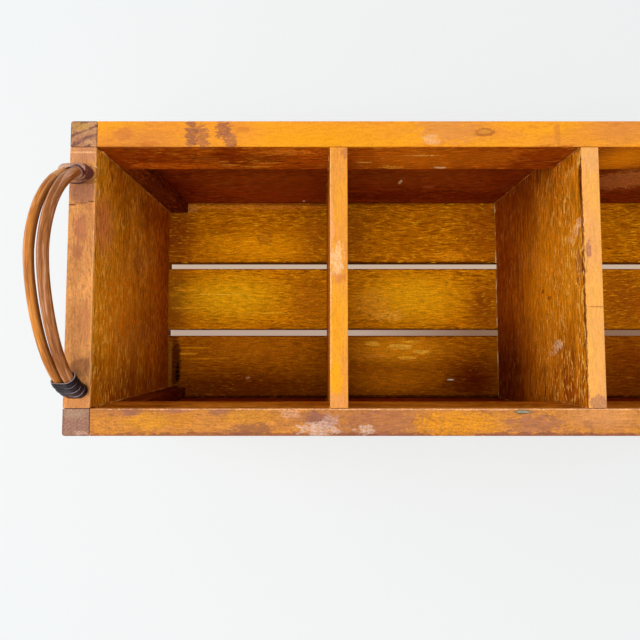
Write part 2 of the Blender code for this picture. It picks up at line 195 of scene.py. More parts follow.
def soft_light():
    """A wide ceiling light kept out of the varnish's reflections, a window on the left, and pale
    walls, which the varnish reflects only weakly."""
    soft_lamp("ceiling_light", CEILING_SIZE, CEILING_PLACE, CEILING_POWER).visible_glossy = False
    soft_lamp("window_light", WINDOW_SIZE, WINDOW_PLACE, WINDOW_POWER)
    world = bpy.data.worlds.new("pale_room")
    world.use_nodes = True
    tree = world.node_tree
    upward = add_node(tree, "SeparateXYZ", {0: add_node(tree, "TexCoord", {})["Generated"]})["Z"]
    glossy = add_node(tree, "LightPath", {})["Is Glossy Ray"]
    level = reckon(tree, "MULTIPLY", ramp(tree, upward, start=ROOM_HORIZON, stop=ROOM_ZENITH),
                   ramp(tree, glossy, start=1.0, stop=ROOM_IN_VARNISH))
    tree.links.new(level, tree.nodes["Background"].inputs["Strength"])
    tree.nodes["Background"].inputs["Color"].default_value = (1.0, 1.0, 1.0, 1.0)
    bpy.context.scene.world = world


pale_table()
soft_light()

# Posts
# Four square posts of stained rubberwood, sawn across at the rim, so that their end grain
# shows growth rings and drinks the stain. Their tops are a grey brown, partly dark stained end grain
# and partly a painted pale reflection of the varnish. The rails and boards are let into them.
GRAIN_TURNS = {"x": (0, 0, 0), "y": (0, 0, -math.pi / 2), "z": (0, math.pi / 2, 0)}
WOOD_NOISE = {"broad": (55, 17, 2.0), "stripe": (40, 1.9), "fibre": (9, 1.1), "speckle": (1.6, 1.0),
              "mottle": (6, 3.0, 3.0, 0.7), "fray": (5, 2.2, 4.0, 0.7)}
PATCH_NOISE = (34, 22, 1.0)
PATCH_EDGE = (0.30, 0.58)
# The golden dashes are painted glints of the rippled varnish, with a matching bump.
DASH_FROM = 0.55
FLECKS_AT_FLOOR = 0.25
RIM_BAND = (1.2 * MM, 0.2 * MM)
OUTSIDE_BAND = (1.0 * MM, 0.5 * MM)
OUTSIDE_SHARE = 0.85
# Inner faces are painted darker in this band towards the floor, as shade.
FLOOR_SHADE_BAND = (120 * MM, 30 * MM)
DULL_BAND = (90 * MM, 40 * MM)
RUBBED_EDGE = (0.38, 0.58)
RUBBED_LEAST = 0.5
WOOD_ROUGHNESS = 0.34
WAVE_PERIOD = 0.314
SOFT_EDGE = (1.35, 0.15)
RAGGED_EDGE = (1.2, 0.75)
FRAY_REACH = 1.5
GRAIN_WAVES = 26.0
GRAIN_BEND = 9 * MM
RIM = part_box("post_front_left")[1].z
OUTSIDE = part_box("post_back_right")[1]
INNER_CONTRAST = 1.2
RUBBED_FROM = 0.6
OUTSIDE_STAIN = {"pale": "#c4803a", "deep": "#a8642a", "line": "#84501f", "fibre": "#d69a52"}


def stretched_noise(tree, place, length, width, detail=3.0, roughness=0.55):
    """Soft noise in dashes of a length along the grain and a width across it, both in millimetres."""
    shrunk = vector_step(tree, "DIVIDE", place, (length * MM, width * MM, width * MM))
    return add_node(tree, "TexNoise", {"Vector": shrunk, "Scale": 1.0, "Detail": detail,
                                       "Roughness": roughness})["Fac"]


def noises(tree, place, table):
    """One such noise for each row of a table: length, width, detail and roughness."""
    return [stretched_noise(tree, place, *row) for row in table.values()]


def between(tree, value, low, high, top=1.0):
    """How far a value has come from low to high, eased at both ends, up to a top value."""
    return add_node(tree, "MapRange", {"Value": value, "From Min": low, "From Max": high, "To Max": top},
                    interpolation_type="SMOOTHSTEP")[0]


def grain_place(tree, grain, shift):
    """Object coordinates, and the same with the grain along the first axis, gently bent as real grain is."""
    place = object_place(tree)
    turned = add_node(tree, "Mapping", {"Vector": place, "Location": shift,
                                        "Rotation": GRAIN_TURNS[grain]})[0]
    wander = add_node(tree, "TexNoise", {"Vector": turned, "Scale": GRAIN_WAVES, "Detail": 1.5})["Color"]
    centred = vector_step(tree, "SUBTRACT", wander, (0.5, 0.5, 0.5))
    bend = vector_step(tree, "MULTIPLY", centred, (0.0, GRAIN_BEND, GRAIN_BEND))
    return place, vector_step(tree, "ADD", turned, bend)


def mark(tree, place, fray, centre, reach, ragged):
    """A stain, knot or scuff: 1 inside an oval and 0 outside it, with a ragged edge, or, where
    ragged is 0, with a wide soft one."""
    away = vector_step(tree, "SUBTRACT", place, [c * MM for c in centre])
    share = vector_step(tree, "DIVIDE", away, [r * MM for r in reach])
    distance = add_node(tree, "VectorMath", {0: share}, operation="LENGTH")["Value"]
    if not ragged:
        return between(tree, distance, *SOFT_EDGE)
    reach = FRAY_REACH * ragged
    frayed = reckon(tree, "MULTIPLY_ADD", fray, 2 * reach, distance)
    return between(tree, frayed, *[edge + reach for edge in RAGGED_EDGE])


def growth_rings(tree, place, centre, spacing):
    """End-grain rings round a heart that lies outside the piece."""
    away = vector_step(tree, "SUBTRACT", place, [c * MM for c in centre])
    return add_node(tree, "TexWave", {"Vector": away, "Scale": WAVE_PERIOD / (spacing * MM),
                                      "Distortion": 2.5, "Detail": 2.0, "Detail Scale": 1.5},
                    wave_type="RINGS", rings_direction="Z")["Fac"]


def layered(tree, colour, colours, layers):
    """A colour under named others, each laid on where a value passes from low to high."""
    for shade, value, low, high, most in layers:
        colour = tint(tree, colour, paint(colours[shade]), between(tree, value, low, high, most))
    return colour


def varnish(tree, surface, colour, rough, gleam, relief, strength, depth):
    """Ends a material as a varnished colour over a relief of some depth in millimetres."""
    bumped = add_node(tree, "Bump", {"Height": relief, "Strength": strength, "Distance": depth * MM})[0]
    shader = add_node(tree, "BsdfPrincipled", {"Base Color": colour, "Roughness": rough, "Normal": bumped,
                                               "Specular IOR Level": gleam})[0]
    tree.links.new(shader, surface)


def stained_wood(name, grain, colours, marks=(), shift=(0, 0, 0), flecks=0.8, fleck_size=(6, 1.0),
                 stripes=0.40, rings=None, fleck_rise=None, light_fibres=0.45, dash_edge=0.14,
                 rim_contrast=0.9):
    """Rubberwood, stained and wiped: soft stripes, short golden dashes, which are painted glints of the
    rippled varnish over a matching bump, speckle and marks, each with its centre and reach in
    millimetres, shade, strength and raggedness. Towards the floor the inner faces are painted darker,
    as shade."""
    material, tree, surface = bare_material("stained_rubberwood_" + name)
    place, along = grain_place(tree, grain, shift)
    broad, stripe, fibre, speckle, mottle, fray = noises(tree, along, WOOD_NOISE)
    patches = between(tree, stretched_noise(tree, along, *PATCH_NOISE), *PATCH_EDGE)
    dash = stretched_noise(tree, along, *fleck_size, 2.0)
    dash = between(tree, dash, DASH_FROM, DASH_FROM + dash_edge, flecks)
    fleck = reckon(tree, "MULTIPLY", dash, patches)
    right, back, height = add_node(tree, "SeparateXYZ", {0: place})
    top = between(tree, height, *[RIM - depth for depth in RIM_BAND])
    sides = [between(tree, reckon(tree, "ABSOLUTE", side), *[face - depth for depth in OUTSIDE_BAND],
                     OUTSIDE_SHARE) for side, face in ((right, OUTSIDE.x), (back, OUTSIDE.y))]
    outside = reckon(tree, "MAXIMUM", *sides)
    if fleck_rise:
        rise = ramp(tree, height, fleck_rise[0] * MM, fleck_rise[1] * MM, start=FLECKS_AT_FLOOR)
        fleck = reckon(tree, "MULTIPLY", fleck, rise)

    # Inner faces; the low layer is painted shade, darker towards the floor.
    inner = layered(tree, paint(colours["face"]), colours, (
        ("deep", broad, 0.36, 0.66, 1.0),
        ("low", height, *FLOOR_SHADE_BAND, 0.8),
        ("stripe", stripe, 0.45, 0.72, stripes),
        ("fleck", fibre, 0.52, 0.74, light_fibres),
        ("stripe", fibre, 0.48, 0.28, 0.7)))
    shell = layered(tree, paint(OUTSIDE_STAIN["pale"]), OUTSIDE_STAIN, (
        ("deep", broad, 0.34, 0.66, 1.0),
        ("line", stripe, 0.48, 0.72, 0.5),
        ("fibre", fibre, 0.54, 0.76, 0.35)))
    rim_layers = [("top_deep", broad, 0.40, 0.64, 1.0), ("mottle", mottle, 0.48, 0.68, 0.65 * rim_contrast)]
    if rings:
        ring = reckon(tree, "MULTIPLY_ADD", growth_rings(tree, place, *rings), mottle, 0.25)
        rim_layers.append(("ring", ring, 0.45, 0.80, 0.9))
    outer = layered(tree, paint(colours["top"]), colours, rim_layers)
    colour = tint(tree, tint(tree, inner, shell, outside), outer, top)
    rubbed = ramp(tree, speckle, *RUBBED_EDGE, start=RUBBED_LEAST)
    for centre, reach, shade, strength, ragged in marks:
        spot = reckon(tree, "MULTIPLY", mark(tree, place, fray, centre, reach, ragged), strength)
        if ragged > RUBBED_FROM:
            spot = reckon(tree, "MULTIPLY", spot, rubbed)
        colour = tint(tree, colour, paint(shade), spot)
    calm = reckon(tree, "MAXIMUM", top, outside)
    fleck = reckon(tree, "MULTIPLY", fleck, ramp(tree, calm, start=1.0, stop=0.0))
    # Lays on the golden dashes, painted glints of the rippled varnish.
    colour = tint(tree, colour, paint(colours["fleck"]), fleck)
    swing = reckon(tree, "SUBTRACT", reckon(tree, "ADD", fibre, speckle), 1.0)
    amount = ramp(tree, calm, start=INNER_CONTRAST, stop=rim_contrast)
    level = reckon(tree, "MULTIPLY_ADD", swing, amount, 1.0)
    colour = add_node(tree, "VectorMath", {0: colour, 3: level}, operation="SCALE")[0]

    relief = reckon(tree, "MULTIPLY_ADD", fibre, 0.6, speckle)
    relief = reckon(tree, "MULTIPLY_ADD", fleck, 0.5, relief)
    dull = between(tree, height, *DULL_BAND, 0.4)
    rough = reckon(tree, "ADD", reckon(tree, "MULTIPLY_ADD", speckle, 0.25, WOOD_ROUGHNESS), dull)
    varnish(tree, surface, colour, rough, gleam=0.08, relief=relief, strength=0.5, depth=0.4)
    return material


def dress(nodes, material):
    """Gives CAD nodes their finish."""
    for node in nodes:
        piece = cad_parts[node]
        piece.material_slots[0].material = material


# The grey-mauve of the post tops is partly dark stained end grain and partly a painted pale reflection of
# the varnish.
post_colours = {
    "top": "#a67866", "top_deep": "#9a705c", "mottle": "#7e5e54", "ring": "#8a6656",
    "face": "#b8742e", "deep": "#9a5a20", "low": "#8a4c18", "stripe": "#6e4a3c", "fleck": "#c98f45"}
ringed_colours = dict(post_colours, top="#bc8a60", top_deep="#ac7854", mottle="#8a5c48", ring="#6e4a42")
RINGED_POST_MARKS = (
    ((-263, 103, 180), (6, 3, 3), "#b88c44", 0.7, 1.0),
    ((-258, 93, 180), (7, 3, 3), "#8a5c50", 0.6, 1.2),
    # The thin dark lines along the outer edges are painted shade.
    ((-261, 107, 180), (12, 0.8, 3), "#70502e", 0.8, 0.6),
    ((-270, 98, 180), (0.8, 12, 3), "#7a5634", 0.7, 0.6),
    ((-256, 92, 180), (5, 2, 3), "#d09c68", 0.6, 1.2),
)
PLAIN_POST_MARKS = (
    # The soft pale grey patch is a painted reflection.
    ((-262, -92, 180), (10, 4, 3), "#aa8c70", 0.6, 0),
    # The thin dark lines along the outer edges are painted shade.
    ((-261, -107, 180), (12, 0.8, 3), "#6a4636", 0.7, 0.6),
    ((-269, -98, 180), (0.7, 9, 3), "#7a5240", 0.5, 0.6),
    ((-258, -105, 180), (4, 1.4, 3), "#c89c84", 0.6, 1.2),
)
dress(("post_back_left", "post_front_right"),
      stained_wood("ringed_posts", "z", ringed_colours, RINGED_POST_MARKS,
                   rings=((-226, 30, 180), 5.4)))
dress(("post_front_left", "post_back_right"),
      stained_wood("posts", "z", post_colours, PLAIN_POST_MARKS,
                   rings=((-200, -190, 180), 2.2)))

# End boards
# Tall boards of the same wood with their grain level, tongued into the posts. The left one is
# stained round the far foot of its handle and smeared there with glue.
END_MARKS = (
    ((-258, 83, 180), (7, 4, 3), "#be6f47", 0.6, 1.0),
    ((-260, 58, 180), (10, 9, 3), "#ac7054", 0.8, 0.3),
    ((-268, 48.6, 180), (3, 0.6, 3), "#6a3a26", 0.8, 0.5),
    ((-261, 49.8, 180), (4, 0.5, 3), "#804c34", 0.7, 0.7),
    ((-254, 50.8, 180), (3, 0.6, 3), "#6a3a26", 0.8, 0.5),
    ((-252, -62, 180), (4, 9, 3), "#8a5a3c", 0.6, 1.4),
    ((-260, 86, 180), (12, 11, 3), "#b07c5c", 0.7, 0.9),
    ((-260, -85, 180), (14, 8, 3), "#c07c48", 0.7, 0),
    ((-262, 33, 180), (5, 10, 3), "#b0674a", 0.8, 1.0),
    ((-263, 17, 180), (4, 5, 3), "#ab6347", 0.7, 1.0),
    ((-256, -31, 180), (5, 15, 3), "#bc754a", 0.6, 0.8),
    ((-259, -62, 180), (8, 6, 3), "#8e5638", 0.7, 0.8),
    ((-261, 85, 180), (10, 0.7, 3), "#f0b87c", 0.5, 0.4),
    # The thin pale line along the inner top edge is a painted highlight on the arris.
    ((-252, 0, 180), (0.8, 100, 2), "#f0ae68", 0.7, 0.6),
    ((-264, 75, 180), (1, 3, 3), "#f8d8b0", 0.9, 0.6),
    # The soft marks on the inner face are painted light and shade: darker along the floor and towards both
    # corners, lighter below the rim and in the upper middle.
    ((-252, 38, 166), (3, 24, 18), "#e68a51", 0.6, 0),
    ((-252, -3, 34), (3, 126, 17), "#7f2605", 0.4, 0),
    ((-252, -82, 92), (3, 19, 70), "#903a05", 0.6, 0),
    ((-252, 71, 77), (3, 18, 40), "#9b450a", 0.6, 0),
    ((-252, -20, 140), (3, 45, 45), "#ff9a14", 0.6, 0),
)
end_colours = {
    "top": "#e19a56", "top_deep": "#cc884c", "mottle": "#b87246",
    "face": "#e49414", "deep": "#c06e04", "low": "#c46a04", "stripe": "#863c00", "fleck": "#ffc048"}
dress(("end_board_left",),
      stained_wood("left_end", "y", end_colours, END_MARKS, flecks=0.9,
                   fleck_size=(8, 1.4), fleck_rise=(30, 105), light_fibres=0.3, dash_edge=0.06))
dress(("end_board_right",),
      stained_wood("right_end", "y", end_colours, fleck_size=(7, 1.1)))

# Top rails
# Thick rails with tenoned ends. Their tops are rubbed to a bright honey orange; the back one has
# two purple stains and a knot, the front one scuffs, worn varnish and a chip.
BACK_RAIL_MARKS = (
    ((-222, 95, 180), (33, 11, 3), "#cd7e34", 0.8, 0),
    ((-234, 98, 180), (6, 4, 3), "#bd6c34", 0.7, 1.0),
    ((-217, 91, 180), (7, 2, 3), "#bb662a", 0.7, 1.3),
    ((-187, 98, 180), (4, 10, 3), "#86503e", 0.9, 1.0),
    ((-180, 95, 180), (5, 9, 3), "#8e5440", 0.8, 1.3),
    ((-165, 101, 180), (5, 7, 3), "#885040", 0.9, 1.0),
    ((-160, 93, 180), (4, 6, 3), "#8e5644", 0.8, 1.1),
    ((-152, 101, 180), (5, 2, 3), "#bd6c2e", 0.7, 1.0),
    ((-89, 97, 180), (58, 13, 3), "#e29310", 0.7, 0),
    ((-11, 101, 180), (21, 9, 3), "#c88044", 0.7, 1.1),
    ((-23, 94, 180), (6, 4, 3), "#e0a46c", 0.8, 0.8),
    ((14, 99, 180), (7, 3, 3), "#a45c24", 0.85, 0.4),
    ((14, 99.4, 180), (5, 1.6, 3), "#c88434", 0.8, 0.3),
    # A soft painted light on the inner face.
    ((29, 89, 157), (20, 3, 18), "#da730d", 0.5, 0),
    ((64, 98, 180), (2, 8, 3), "#c27230", 0.7, 1.1),
    ((110, 101, 180), (32, 12, 3), "#cf8038", 0.8, 0),
    # The rest lie on the inner face: the soft broad marks are painted light and shade, dark at the left
    # corner and lighter over the compartments, and the small pale golden dashes are painted glints of the
    # varnish.
    ((-231, 89, 157), (44, 3, 26), "#8c2e04", 0.7, 0),
    ((-215, 89, 145), (30, 3, 6), "#da6a10", 0.8, 1.0),
    ((-163, 89, 161), (12, 3, 17), "#7a1c02", 0.8, 1.2),
    ((-167, 89, 147), (7, 3, 2), "#f8a838", 0.6, 1.0),
    ((-170, 89, 154), (4, 3, 1.4), "#f0a040", 0.6, 1.0),
    ((-146, 89, 144), (12, 3, 2), "#f0a030", 0.6, 1.2),
    ((-138, 89, 151), (10, 3, 2), "#e89028", 0.6, 1.2),
    ((-122, 89, 171), (22, 3, 4), "#e68220", 0.7, 1.2),
    ((-25, 89, 157), (51, 3, 26), "#da730d", 0.8, 0),
    ((-66, 89, 152), (6, 3, 1), "#ffc659", 0.8, 0.5),
    ((-25, 89, 165), (12, 3, 1), "#ffcb60", 0.8, 0.8),
    ((-44, 89, 143), (8, 3, 3), "#ffae39", 0.7, 1.0),
    ((-7, 89, 142), (5, 3, 2), "#ffebae", 0.8, 0.8),
    ((63, 89, 157), (19, 3, 24), "#963903", 0.7, 0.6),
    ((122, 89, 157), (27, 3, 26), "#f8920c", 1.0, 0),
)
rail_colours = {
    "top": "#e59420", "top_deep": "#dc8a2c", "mottle": "#c47024",
    "face": "#bc5202", "deep": "#963e02", "low": "#963e02", "stripe": "#6a2400", "fleck": "#f0a030"}
dress(("top_rail_back",),
      stained_wood("back_rail", "x", rail_colours, BACK_RAIL_MARKS,
                   stripes=0.8, flecks=0.6, fleck_size=(8, 1.0), rim_contrast=0.5))
FRONT_RAIL_MARKS = (
    # The long dark lines along the front edge are painted shade.
    ((-79, -107, 180), (199, 2.6, 3), "#784234", 0.8, 0.9),
    ((90, -107, 180), (199, 2.2, 3), "#80483a", 0.7, 0.9),
    ((-212, -97, 180), (17, 6, 3), "#cc881e", 0.65, 0.8),
    ((-190, -96, 180), (9, 5, 3), "#c07824", 0.8, 1.0),
    ((-224, -91, 180), (6, 3, 3), "#8a5a4e", 0.8, 1.0),
    ((-195, -90, 180), (10, 2, 3), "#a0664e", 0.8, 1.0),
    ((-165, -91, 180), (6, 3, 3), "#84544a", 0.8, 1.0),
    ((-147, -94, 180), (20, 5, 3), "#c07e20", 0.6, 0.9),
    ((-142, -103, 180), (12, 4, 3), "#84523a", 0.8, 1.1),
    ((-118, -92, 180), (7, 3, 3), "#c8906c", 0.8, 1.2),
    ((-101, -95, 180), (9, 5, 3), "#80544e", 0.8, 1.1),
    ((-99, -102, 180), (14, 4, 3), "#c8a490", 0.85, 1.4),
    ((-92, -97, 180), (6, 4, 3), "#b89082", 0.7, 1.4),
    ((-56, -98, 180), (24, 9, 3), "#9a6046", 0.7, 1.3),
    ((-68, -103, 180), (6, 3, 3), "#cfae97", 0.7, 1.3),
    ((-9, -99, 180), (28, 8, 3), "#d08418", 0.9, 0.9),
    ((44, -99, 180), (18, 6, 3), "#98604c", 0.8, 1.3),
    ((90, -94, 180), (27, 9, 3), "#d08c52", 0.7, 0),
    # The thin pale line along the inner top edge is a painted highlight on the arris.
    ((0, -89, 180), (300, 0.9, 2), "#ecb07c", 0.7, 0.8),
    ((36, -91, 180), (6, 1.4, 3), "#523722", 0.9, 0.3),
    ((36, -91, 180), (5, 0.9, 3), "#908a73", 0.95, 0.3),
)
near_rail_colours = dict(rail_colours, top="#c47e34", top_deep="#ae6e3c", mottle="#8e5a3c",
                         face="#de8824", deep="#a65a08")
dress(("top_rail_front",),
      stained_wood("front_rail", "x", near_rail_colours, FRONT_RAIL_MARKS,
                   stripes=0.7))

# Side panels
# Thin panels under the rails, set back from their faces; their dark red is partly the stain and partly
# painted shade of the recess.
PANEL_MARKS = (
    # On the back panel's face the dark fields at the left end, beside the right divider and low down are
    # painted shade, the paler soft field in the first compartment is painted light, and the peach patch
    # right of the right divider is a painted sheen.
    ((-232, 99, 71), (24, 3, 55), "#681100", 0.8, 0),
    ((-137, 99, 54), (57, 3, 47), "#a2460e", 0.6, 0),
    ((-1, 99, 42), (88, 3, 15), "#681000", 0.6, 0.8),
    ((-27, 99, 82), (1.5, 3, 6), "#fffcc5", 0.9, 0.5),
    ((2, 99, 69), (5, 3, 3), "#d3784a", 0.6, 1.0),
    ((-115, 99, 26), (1.4, 3, 2), "#ffeed3", 0.9, 0.5),
    ((-12, 99, 92), (61, 3, 20), "#a44a10", 0.5, 0.9),
    ((170, 99, 87), (28, 3, 25), "#f09c50", 0.8, 0.8),
    ((127, 99, 60), (47, 3, 46), "#681300", 0.6, 0),
)
# The panels' dark red palette is partly stain and partly painted shade of the recess under the rails.
panel_colours = {
    "top": "#9a4a10", "top_deep": "#762e06", "mottle": "#762e06",
    "face": "#9c3c04", "deep": "#862c02", "low": "#9a3c04", "stripe": "#4a1000", "fleck": "#d07a34"}
dress(("side_panel_front", "side_panel_back"),
      stained_wood("panels", "x", panel_colours, PANEL_MARKS, stripes=0.9,
                   flecks=0.5, fleck_size=(9, 1.2)))

# Corner blocks
# Offcuts glued into the corners of the recess, end grain up, darker than the boards.
block_colours = {
    "top": "#7a4018", "top_deep": "#5c2a0c", "mottle": "#5c2a0c",
    "face": "#803008", "deep": "#5c1c04", "low": "#5c1c04", "stripe": "#451a06", "fleck": "#c46c30"}
block_nodes = [f"corner_block_{side}_{end}" for side in ("front", "back") for end in ("left", "right")]
dress(block_nodes, stained_wood("blocks", "z", block_colours))

# Dividers
# Plates with level grain, housed into the rails; their tops are rubbed pale, and their faces are
# densely flecked near the rim with painted glints and painted darker towards the floor as shade.
LEFT_DIVIDER_MARKS = (
    # The thin pale line along the top's left edge is a painted highlight on the arris.
    ((-92, 0, 180), (0.9, 100, 2), "#f4bc80", 0.7, 0.7),
    ((-82, 85, 180), (3, 4, 3), "#a86440", 0.7, 1.1),
    ((-87, 9, 180), (4, 11, 3), "#e8b888", 0.8, 1.0),
    ((-91, 35, 180), (2, 17, 3), "#dc9464", 0.7, 0.8),
    ((-86, -2, 180), (4, 4, 3), "#c67436", 0.8, 1.3),
    ((-88, -69, 180), (4, 12, 3), "#ee9c04", 0.8, 0.8),
    ((-88, -33, 180), (5, 24, 3), "#e29218", 0.6, 0),
    ((-87, -85, 180), (6, 6, 3), "#d48a50", 0.8, 1.0),
)
RIGHT_DIVIDER_MARKS = (
    # The soft marks on the face are painted light and shade: darker low down, at the front and in the back
    # corner, lighter higher up and below the rim.
    ((80, -75, 44), (3, 56, 52), "#5e1600", 0.8, 0),
    ((80, -2, 36), (3, 107, 20), "#893a04", 0.35, 0),
    ((80, 87, 81), (3, 23, 46), "#994204", 0.6, 0),
    ((80, 0, 124), (3, 71, 40), "#ffa00e", 0.6, 0),
    ((80, 20, 165), (3, 78, 21), "#ffab1e", 0.3, 0),
    ((80, -4, 120), (3, 1.5, 3), "#8c3a0c", 0.8, 0.8),
    ((80, -10, 130), (3, 1.5, 4), "#943e0c", 0.8, 0.8),
    ((80, -46, 143), (3, 3, 6), "#ffdcb8", 0.65, 0.9),
    ((80, -49, 138), (3, 3, 6), "#ffd0a0", 0.5, 0.9),
    ((80, -53, 132), (3, 2, 6), "#ffc890", 0.4, 0.9),
    ((80, 37, 175), (3, 4, 5), "#ffcc98", 0.6, 0.9),
    ((80, 33, 170), (3, 4, 5), "#ffc890", 0.5, 0.9),
    ((80, 28, 164), (3, 3, 5), "#ffc488", 0.45, 0.9),
    ((80, 8, 174), (3, 9, 6), "#8c4a34", 0.6, 1.2),
    ((79.6, 0, 179), (1, 100, 1.8), "#5a2408", 0.9, 0.8),
    ((79.6, 70, 178.4), (1, 16, 2), "#441600", 0.9, 1.0),
    ((80, -82, 163), (3, 8, 16), "#9b4207", 0.6, 0.8),
    ((87, 80, 180), (6, 9, 3), "#dca066", 0.6, 0.8),
    ((83, 18, 180), (2, 6, 3), "#9a5a50", 0.8, 0.9),
    ((87, -21, 180), (6, 0.6, 3), "#b87840", 0.8, 0.4),
    ((87, -86, 180), (7, 6, 3), "#a06a54", 0.8, 1.2),
    ((93, -40, 180), (2, 12, 3), "#dc985f", 0.7, 0.8),
)
divider_colours = {
    "top": "#e1982c", "top_deep": "#da8e3a", "mottle": "#cc7e30",
    "face": "#d87e08", "deep": "#b45c02", "low": "#b85c02", "stripe": "#7c3200", "fleck": "#ffc058"}
pale_divider_colours = dict(divider_colours, top="#e6a24e", top_deep="#e09c56", mottle="#d48c44")
dress(("divider_left",),
      stained_wood("left_divider", "y", divider_colours, LEFT_DIVIDER_MARKS,
                   fleck_rise=(40, 150), rim_contrast=0.5))
dress(("divider_right",),
      stained_wood("right_divider", "y", pale_divider_colours, RIGHT_DIVIDER_MARKS,
                   stripes=0.9, flecks=1.0, fleck_size=(8, 1.5), fleck_rise=(90, 160),
                   light_fibres=0.25, dash_edge=0.09, rim_contrast=0.45))

# Floor slats
# Three slats that run the whole length into the end boards, each from another plank. The front
# slat is the darkest, with pale flakes, and is worn down at its left end.
BACK_SLAT_MARKS = (
    # Soft broad marks (raggedness 0) are painted light and shade: darker by the left end board and the
    # dividers, lighter in the first compartment. The long dark lines are painted shade at the floor gap and
    # along the back wall.
    ((-243, 66, 20), (22, 40, 3), "#8a3e06", 0.9, 0),
    ((-158, 53, 20), (64, 18, 3), "#f09c06", 0.6, 0),
    ((-170, 96, 20), (82, 4, 3), "#d07c24", 0.7, 1.0),
    ((-105, 66, 20), (14, 31, 3), "#a85c0a", 0.6, 0),
    ((-155, 62, 20), (8, 7, 3), "#944e0a", 0.7, 0.5),
    ((-155, 62, 20), (6, 5, 3), "#cc7c0c", 0.9, 0.5),
    ((-234, 93, 20), (11, 5, 3), "#c87c3c", 0.7, 1.1),
    ((-63, 66, 20), (16, 35, 3), "#a85c08", 0.7, 0),
    ((33, 44, 20), (18, 5, 3), "#ee9612", 0.6, 1.2),
    ((64, 71, 20), (24, 35, 3), "#9c4a06", 0.7, 0),
    ((0, 37, 20), (300, 1.5, 6), "#4a1a02", 0.8, 0.5),
    ((-100, 98, 20), (170, 2, 6), "#5a2204", 0.7, 0.8),
)
MIDDLE_SLAT_MARKS = (
    # Soft broad marks are painted light and shade: darker by the left end board, the dividers and towards
    # the right end, lighter in the first two compartments. The long dark lines along both edges are painted
    # shade at the floor gaps.
    ((-246, -1, 20), (18, 41, 3), "#8a460c", 0.9, 0),
    ((-190, 2, 20), (60, 26, 3), "#f0b410", 0.6, 0),
    ((-111, -1, 20), (22, 30, 3), "#b4660a", 0.7, 0),
    ((-235, -9, 20), (14, 1.2, 3), "#f8ac20", 0.5, 0.9),
    ((-228, 9, 20), (14, 1, 3), "#f8a818", 0.5, 0.9),
    ((-196, 5, 20), (26, 0.8, 3), "#ffc830", 0.5, 0.9),
    ((-150, -14, 20), (24, 0.8, 3), "#ffc028", 0.5, 0.9),
    ((-6, 2, 20), (54, 28, 3), "#f0ac10", 0.7, 0),
    ((-46, -5, 20), (16, 14, 3), "#e69826", 0.6, 1.3),
    ((-28, -17, 20), (16, 5, 3), "#f0aa38", 0.6, 1.3),
    ((67, -9, 20), (20, 34, 3), "#8c4206", 0.8, 0),
    ((210, -1, 20), (40, 41, 3), "#9a4e06", 0.9, 0),
    ((0, 31, 20), (300, 1.2, 6), "#5a2404", 0.7, 0.6),
    ((0, -31, 20), (300, 1.5, 6), "#4a1a02", 0.8, 0.5),
)
FRONT_SLAT_MARKS = (
    # Soft broad marks are painted light and shade: darker along the front wall, by the right divider and
    # towards the right end, lighter in the middles. The long dark lines are painted shade along the front
    # wall and at the floor gap.
    ((-169, -52, 20), (72, 16, 3), "#b86a0a", 0.6, 0),
    ((-179, -89, 20), (110, 20, 3), "#6f2d00", 0.85, 0),
    ((-226, -49, 20), (17, 0.9, 3), "#f8a40c", 0.45, 0.6),
    ((-234, -55, 20), (14, 1, 3), "#ffb020", 0.55, 0.6),
    ((-214, -60, 20), (22, 0.8, 3), "#f09c08", 0.45, 0.6),
    ((-171, -79, 20), (2, 1.6, 3), "#d09468", 0.7, 1.0),
    ((-23, -51, 20), (54, 17, 3), "#f09a14", 0.8, 0),
    ((-30, -82, 20), (48, 16, 3), "#e88c0c", 0.5, 0),
    ((-46, -45, 20), (9, 2.2, 3), "#ffc03c", 0.7, 0.6),
    ((-18, -48, 20), (12, 2.8, 3), "#ffc844", 0.7, 0.6),
    ((-20, -49, 20), (8, 1.2, 3), "#e09020", 0.6, 0.6),
    ((3, -53, 20), (9, 2, 3), "#ffc03c", 0.7, 0.6),
    ((-6, -43, 20), (9, 1.4, 3), "#ffb830", 0.6, 0.6),
    ((-12, -59, 20), (10, 1.8, 3), "#ffbc34", 0.7, 0.6),
    ((-45, -57, 20), (16, 1.8, 3), "#ec962c", 0.7, 1.2),
    ((55, -81, 20), (32, 26, 3), "#5d0e00", 0.85, 0),
    ((32, -81, 20), (3.2, 0.8, 3), "#fff4e0", 0.85, 0.5),
    ((212, -71, 20), (40, 40, 3), "#8a3e04", 0.8, 0),
    ((0, -98, 20), (300, 2, 6), "#3a1000", 0.8, 0.6),
    ((0, -37, 20), (300, 1.2, 6), "#5a2404", 0.7, 0.6),
    # The two dark marks at the worn-down left end are painted shade in its recess.
    ((-244, -66, 18), (6, 31, 5), "#5c2404", 0.95, 0.4),
    ((-242, -74, 18), (3, 12, 5), "#1e0200", 0.95, 0.6),
    ((-251, -67, 18), (2.4, 26, 5), "#a8641a", 0.9, 0.5),
)
slat_colours = {
    "top": "#e0961c", "top_deep": "#b86c10", "mottle": "#b86c10",
    "face": "#d88402", "deep": "#b86600", "low": "#d07e02", "stripe": "#7e3a00", "fleck": "#ffb81c"}
back_slat_colours = dict(slat_colours, face="#c67400", deep="#a45800", low="#be6e00")
dark_slat_colours = dict(slat_colours, face="#b86a02", deep="#944a00", low="#a65a00", fleck="#e69a20")
